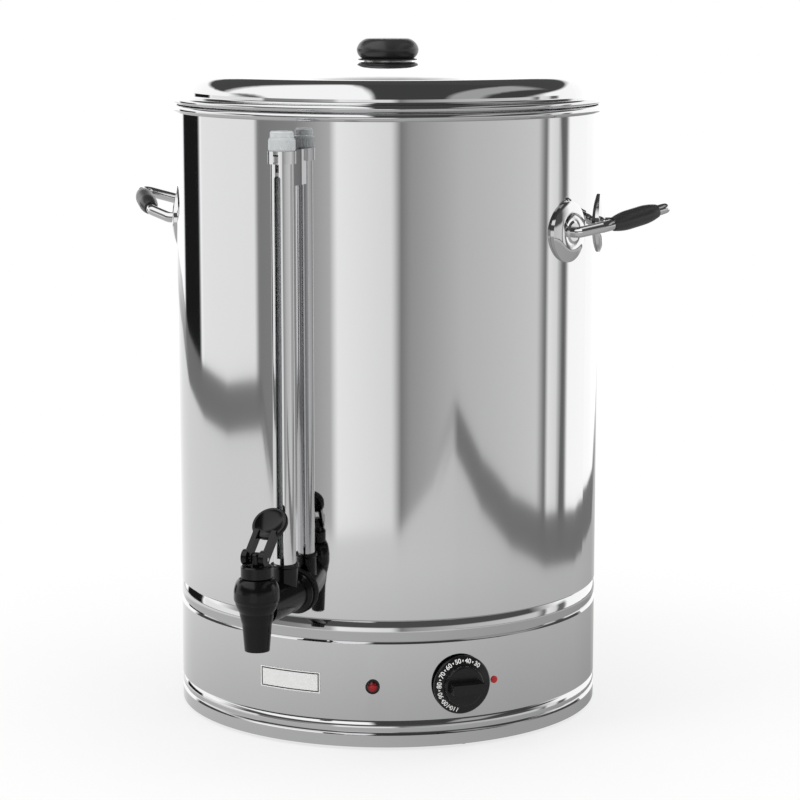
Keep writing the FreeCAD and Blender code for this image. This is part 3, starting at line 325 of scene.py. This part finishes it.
def capRibs():
    r = ribs
    count = r["count"] * 2
    centre = Vector((0, -r["reach"], 0))
    points = []
    levels = ((r["low"], 0.0), (r["low"] + r["runOut"], 1.0),
              (r["high"] - r["runOut"], 1.0), (r["high"], 0.0))
    for height, grow in levels:
        for step in range(count):
            a = 2 * math.pi * step / count
            radius = r["valley"] + (r["crest"] - r["valley"]) * grow * (step % 2)
            points.append((centre + Vector((math.cos(a) * radius, math.sin(a) * radius, height))) * mm)
    for height in (r["high"], r["low"]):
        for step in range(count):
            a = 2 * math.pi * step / count
            out = Vector((math.cos(a), math.sin(a), 0)) * r["inner"]
            points.append((centre + out + Vector((0, 0, height))) * mm)
    faces = []
    rows = len(levels) + 2
    for row in range(rows):
        for step in range(count):
            after = (step + 1) % count
            low = row * count
            high = (row + 1) % rows * count
            faces.append((low + step, low + after, high + after, high + step))
    piece = meshPiece("gauge_cap_ribs", points, faces, frostedCap, "casing", smooth=False)


# a thin printed frame round the bare rating plate
border = {"azimuth": -2.5, "radius": 180.6, "centre": 55.0, "width": 55.0, "height": 17.5, "inset": 0.9,
          "line": 0.9, "thick": 0.04, "steps": 16}


def labelBorder():
    b = border
    half = b["width"] / 2 - b["inset"]
    low = b["centre"] - b["height"] / 2 + b["inset"]
    high = b["centre"] + b["height"] / 2 - b["inset"]
    line = b["line"]
    points = []
    faces = []
    for left, right, bottom, top in ((-half, half, low, low + line), (-half, half, high - line, high),
                                     (-half, -half + line, low + line, high - line),
                                     (half - line, half, low + line, high - line)):
        start = len(points)
        for step in range(b["steps"] + 1):
            along = left + (right - left) * step / b["steps"]
            a = math.radians(b["azimuth"]) + along / b["radius"]
            out = Vector((math.sin(a), -math.cos(a), 0))
            for radius, height in ((0, bottom), (b["thick"], bottom), (b["thick"], top), (0, top)):
                points.append((out * (b["radius"] + radius) + Vector((0, 0, height))) * mm)
        for step in range(b["steps"]):
            for side in range(4):
                after = (side + 1) % 4
                here = start + step * 4
                faces.append((here + side, here + after, here + 4 + after, here + 4 + side))
        last = start + b["steps"] * 4
        faces.append((start + 3, start + 2, start + 1, start))
        faces.append((last, last + 1, last + 2, last + 3))
    piece = meshPiece("rating_plate_border", points, faces, blackPaint, "casing", smooth=False)


coilSpring()
capRibs()
labelBorder()
print("spring, cap ribs and plate border built")

studio = {"cameraAzimuth": 24.2, "distance": 2.2158, "height": 0.6246, "pitch": 9.34, "yaw": -0.27,
          "lens": 116.6, "worldLight": 0.75, "mirrorLight": 1.25, "floorTone": 0.80, "sensorWidth": 36,
          "farClip": 50}
# surroundings that the metal shows, as seen from the urn: azimuth from the camera and grey tone
panels = [(-180, 1.0), (-146, 1.0), (-144, 0.01), (-123, 0.01), (-121, 1.0), (-119, 0.82), (-76, 0.80),
          (-73, 0.2), (-50, 0.24), (-31, 0.42), (-27, 0.85), (2, 0.72), (7, 0.2), (12, 0.3), (40, 0.48),
          (88, 0.60), (94, 0.12), (97, 0.8), (104, 0.7), (107, 0.12), (112, 0.15), (115, 1.0), (180, 1.0)]
# the table as the metal shows it: azimuth, sine of its edge's height, how dark the painted shadow line along
# its edge is, and its tone
tableEdgeAndShadowLine = [(-180, -0.100, 0.0, 0.95), (-152, -0.125, 0.6, 0.70), (-140, -0.1456, 1.0, 0.66),
             (-120, -0.1585, 1.0, 0.66), (-97, -0.165, 1.0, 0.65), (-72, -0.1635, 1.0, 0.65),
             (-64, -0.200, 0.0, 0.64), (-29, -0.214, 0.0, 0.62), (6, -0.212, 0.0, 0.58),
             (24, -0.195, 0.0, 0.56), (35, -0.172, 0.3, 0.55), (38, -0.1745, 1.0, 0.54),
             (52, -0.194, 1.0, 0.53), (71, -0.208, 1.0, 0.51), (96, -0.215, 1.0, 0.50),
             (125, -0.213, 1.0, 0.47), (155, -0.1975, 1.0, 0.38), (170, -0.15, 0.0, 0.5),
             (180, -0.100, 0.0, 0.95)]
# overhead, by the sideways share: dark, with a soft box on the left and a smaller light patch on the right
ceiling = [(-1.0, 0.12), (-0.90, 0.12), (-0.86, 1.0), (-0.16, 1.0), (-0.10, 0.05), (0.48, 0.05), (0.54, 0.36),
           (0.72, 0.36), (0.78, 0.05), (1.0, 0.05)]
# the painted shadow line along the table's edge, the painted shade on the table near the urn, and the tones
# overhead; pairs say where one part of the room gives way to the next, by height or by the share towards the
# back
room = {"shadowLineTone": 0.16, "shadowLineHalf": 0.0088, "shadowLineFade": 0.0108, "nearLow": -0.285, "nearHigh": -0.225,
        "urnShadeTone": 0.66, "ceilingTone": 0.06, "shelfTone": 0.07, "wallTop": (0.05, 0.12),
        "overhead": (0.37, 0.42), "frontEdge": (0.45, 0.30), "backEdge": (-0.1, 0.3), "softEdge": 0.002}


def fillRamp(ramp, stops):
    # stops give the place from 0 to 1 and a colour
    elements = ramp.color_ramp.elements
    while len(elements) > 1:
        elements.remove(elements[-1])
    for index, (place, colour) in enumerate(stops):
        stop = elements[0] if index == 0 else elements.new(place)
        stop.position = place
        stop.color = (*colour, 1)


def buildWorld():
    world = bpy.data.worlds.new("studio")
    bpy.context.scene.world = world
    world.use_nodes = True
    tree = world.node_tree
    tree.nodes.clear()
    ray = addNode(tree, "ShaderNodeLightPath")
    way = addNode(tree, "ShaderNodeTexCoord")
    turned = addNode(tree, "ShaderNodeVectorRotate", {
        "rotation_type": "Z_AXIS", "Angle": math.radians(-studio["cameraAzimuth"])},
        {"Vector": way.outputs["Generated"]})
    axes = addNode(tree, "ShaderNodeSeparateXYZ", links={"Vector": turned.outputs[0]})
    back = addNode(tree, "ShaderNodeMath", {"operation": "MULTIPLY", 1: -1.0}, {0: axes.outputs["Y"]})
    angle = addNode(tree, "ShaderNodeMath", {"operation": "ARCTAN2"},
                    {0: axes.outputs["X"], 1: back.outputs[0]})
    part = addNode(tree, "ShaderNodeMapRange", {"From Min": -math.pi, "From Max": math.pi},
                   {"Value": angle.outputs[0]})
    walls = addNode(tree, "ShaderNodeValToRGB", links={"Fac": part.outputs["Result"]})
    fillRamp(walls, [((azimuth + 180) / 360, (tone,) * 3) for azimuth, tone in panels])

    # below the walls: the table, with painted shade darkening it towards the urn and a painted shadow line
    # along its edge
    edge = addNode(tree, "ShaderNodeValToRGB", links={"Fac": part.outputs["Result"]})
    fillRamp(edge, [((azimuth + 180) / 360, (-sine, dark, tone)) for azimuth, sine, dark, tone in tableEdgeAndShadowLine])
    facts = addNode(tree, "ShaderNodeSeparateColor", links={"Color": edge.outputs["Color"]})
    above = addNode(tree, "ShaderNodeMath", {"operation": "ADD"},
                    {0: axes.outputs["Z"], 1: facts.outputs["Red"]})
    # painted shade: the table darkens towards the urn, where the urn shades it
    near = addNode(tree, "ShaderNodeMapRange",
                   {"From Min": room["nearLow"], "From Max": room["nearHigh"], "To Min": room["urnShadeTone"]},
                   {"Value": axes.outputs["Z"]})
    shadedTableTone = addNode(tree, "ShaderNodeMath", {"operation": "MULTIPLY"},
                        {0: facts.outputs["Blue"], 1: near.outputs["Result"]})
    overTable = addNode(tree, "ShaderNodeMapRange", {
        "From Min": -room["softEdge"], "From Max": room["softEdge"], "interpolation_type": "SMOOTHSTEP"},
        {"Value": above.outputs[0]})
    low = addNode(tree, "ShaderNodeMix", {"data_type": "RGBA"}, {
        0: overTable.outputs["Result"], 6: shadedTableTone.outputs[0], 7: walls.outputs["Color"]})
    spread = addNode(tree, "ShaderNodeMath", {"operation": "ABSOLUTE"}, {0: above.outputs[0]})
    # painted shadow line: a dark band along the table's edge
    band = addNode(tree, "ShaderNodeMapRange", {
        "From Min": room["shadowLineHalf"], "From Max": room["shadowLineFade"], "To Min": 1.0, "To Max": 0.0,
        "interpolation_type": "SMOOTHSTEP"}, {"Value": spread.outputs[0]})
    shadowLineShare = addNode(tree, "ShaderNodeMath", {"operation": "MULTIPLY"},
                        {0: band.outputs["Result"], 1: facts.outputs["Green"]})
    withShadowLine = addNode(tree, "ShaderNodeMix", {"data_type": "RGBA", 7: (*(room["shadowLineTone"],) * 3, 1)},
                    {0: shadowLineShare.outputs[0], 6: low.outputs[2]})

    # above the walls: a dark shelf in front and white behind, then overhead the soft boxes at the front
    sideways = addNode(tree, "ShaderNodeMapRange", {"From Min": -1.0, "From Max": 1.0},
                       {"Value": axes.outputs["X"]})
    boxes = addNode(tree, "ShaderNodeValToRGB", links={"Fac": sideways.outputs["Result"]})
    fillRamp(boxes, [((share + 1) / 2, (tone,) * 3) for share, tone in ceiling])
    steep = addNode(tree, "ShaderNodeMapRange",
                    {"From Min": room["overhead"][0], "From Max": room["overhead"][1]},
                    {"Value": axes.outputs["Z"]})
    front = addNode(tree, "ShaderNodeMapRange",
                    {"From Min": room["frontEdge"][0], "From Max": room["frontEdge"][1]},
                    {"Value": axes.outputs["Y"]})
    boxed = addNode(tree, "ShaderNodeMix", {"data_type": "RGBA", 6: (*(room["ceilingTone"],) * 3, 1)},
                    {0: front.outputs["Result"], 7: boxes.outputs["Color"]})
    behind = addNode(tree, "ShaderNodeMapRange",
                     {"From Min": room["backEdge"][0], "From Max": room["backEdge"][1]},
                     {"Value": axes.outputs["Y"]})
    middle = addNode(tree, "ShaderNodeMix",
                     {"data_type": "RGBA", 6: (*(room["shelfTone"],) * 3, 1), 7: (1, 1, 1, 1)},
                     {0: behind.outputs["Result"]})
    over = addNode(tree, "ShaderNodeMix", {"data_type": "RGBA"},
                   {0: steep.outputs["Result"], 6: middle.outputs[2], 7: boxed.outputs[2]})
    high = addNode(tree, "ShaderNodeMapRange",
                   {"From Min": room["wallTop"][0], "From Max": room["wallTop"][1]},
                   {"Value": axes.outputs["Z"]})
    whole = addNode(tree, "ShaderNodeMix", {"data_type": "RGBA"},
                    {0: high.outputs["Result"], 6: withShadowLine.outputs[2], 7: over.outputs[2]})
    mirror = addNode(tree, "ShaderNodeBackground", {"Strength": studio["mirrorLight"]},
                     {"Color": whole.outputs[2]})
    plain = addNode(tree, "ShaderNodeBackground", {"Color": (1, 1, 1, 1), "Strength": studio["worldLight"]})
    white = addNode(tree, "ShaderNodeBackground", {"Color": (1, 1, 1, 1), "Strength": 1.0})
    glossy = addNode(tree, "ShaderNodeMixShader", links={
        0: ray.outputs["Is Glossy Ray"], 1: plain.outputs[0], 2: mirror.outputs[0]})
    seen = addNode(tree, "ShaderNodeMath", {"operation": "MAXIMUM"}, {
        0: ray.outputs["Is Camera Ray"], 1: ray.outputs["Is Transmission Ray"]})
    final = addNode(tree, "ShaderNodeMixShader", links={
        0: seen.outputs[0], 1: glossy.outputs[0], 2: white.outputs[0]})
    addNode(tree, "ShaderNodeOutputWorld", links={"Surface": final.outputs[0]})


# a round table top, lengths in metres, that turns white away from the urn
floor = {"radius": 2.0, "sides": 96, "fadeStart": 0.2, "fadeEnd": 0.6, "nearWhite": 0.7, "roughness": 0.7}


def buildFloor():
    size = floor["radius"]
    count = floor["sides"]
    rim = [Vector((math.cos(2 * math.pi * i / count), math.sin(2 * math.pi * i / count), 0)) * size
           for i in range(count)]
    points = [Vector((0, 0, 0))] + rim
    faces = [(0, 1 + i, 1 + (i + 1) % count) for i in range(count)]
    material, tree, shader = newMaterial("painted_table", {
        "Base Color": (studio["floorTone"],) * 3 + (1.0,), "Roughness": floor["roughness"]})
    ray = addNode(tree, "ShaderNodeLightPath")
    place = addNode(tree, "ShaderNodeTexCoord")
    reach = addNode(tree, "ShaderNodeVectorMath", {"operation": "LENGTH"}, {0: place.outputs["Object"]})
    fade = addNode(tree, "ShaderNodeMapRange", {
        "From Min": floor["fadeStart"], "From Max": floor["fadeEnd"],
        "To Min": floor["nearWhite"], "To Max": 1.0, "interpolation_type": "SMOOTHSTEP"},
        {"Value": reach.outputs["Value"]})
    amount = addNode(tree, "ShaderNodeMath", {"operation": "MULTIPLY"},
                     {0: fade.outputs["Result"], 1: ray.outputs["Is Camera Ray"]})
    white = addNode(tree, "ShaderNodeEmission", {"Color": (1, 1, 1, 1), "Strength": 1.0})
    mix = addNode(tree, "ShaderNodeMixShader",
                  links={0: amount.outputs[0], 1: shader.outputs[0], 2: white.outputs[0]})
    output = next(node for node in tree.nodes if node.type == "OUTPUT_MATERIAL")
    tree.links.new(mix.outputs[0], output.inputs["Surface"])
    table = meshPiece("table", points, faces, material, None, smooth=False)
    table.visible_glossy = False


# place and width in metres, power in watts; all point at the urn's middle
lamps = {"key_lamp": ((-1.3, -1.6, 2.0), 1.2, 26), "fill_lamp": ((2.2, -0.9, 1.3), 1.4, 12),
         "top_lamp": ((0.2, 0.5, 2.6), 1.6, 18)}
lampTarget = Vector((0, 0, 0.3))


def addLamp(name, place, width, power):
    lamp = bpy.data.lights.new(name, "AREA")
    lamp.shape = "SQUARE"
    lamp.size = width
    lamp.energy = power
    holder = bpy.data.objects.new(name, lamp)
    bpy.context.scene.collection.objects.link(holder)
    holder.location = place
    holder.rotation_euler = (lampTarget - Vector(place)).to_track_quat("-Z", "Y").to_euler()
    holder.visible_glossy = False


def buildCamera():
    a = math.radians(studio["cameraAzimuth"])
    away = Vector((-math.sin(a), math.cos(a), 0))
    right = Vector((math.cos(a), math.sin(a), 0))
    yaw = math.radians(studio["yaw"])
    pitch = math.radians(studio["pitch"])
    level = away * math.cos(yaw) - right * math.sin(yaw)
    side = right * math.cos(yaw) + away * math.sin(yaw)
    forward = level * math.cos(pitch) - Vector((0, 0, math.sin(pitch)))
    up = side.cross(forward)
    camera = bpy.data.cameras.new("camera")
    camera.lens = studio["lens"]
    camera.sensor_width = studio["sensorWidth"]
    camera.clip_end = studio["farClip"]
    holder = bpy.data.objects.new("camera", camera)
    bpy.context.scene.collection.objects.link(holder)
    m = Matrix((side, up, -forward)).transposed().to_4x4()
    m.translation = -away * studio["distance"] + Vector((0, 0, studio["height"]))
    holder.matrix_world = m
    bpy.context.scene.camera = holder


buildWorld()
buildFloor()
for name, (place, width, power) in lamps.items():
    addLamp(name, place, width, power)
buildCamera()
bpy.context.scene.view_settings.view_transform = "Standard"
print("studio built")
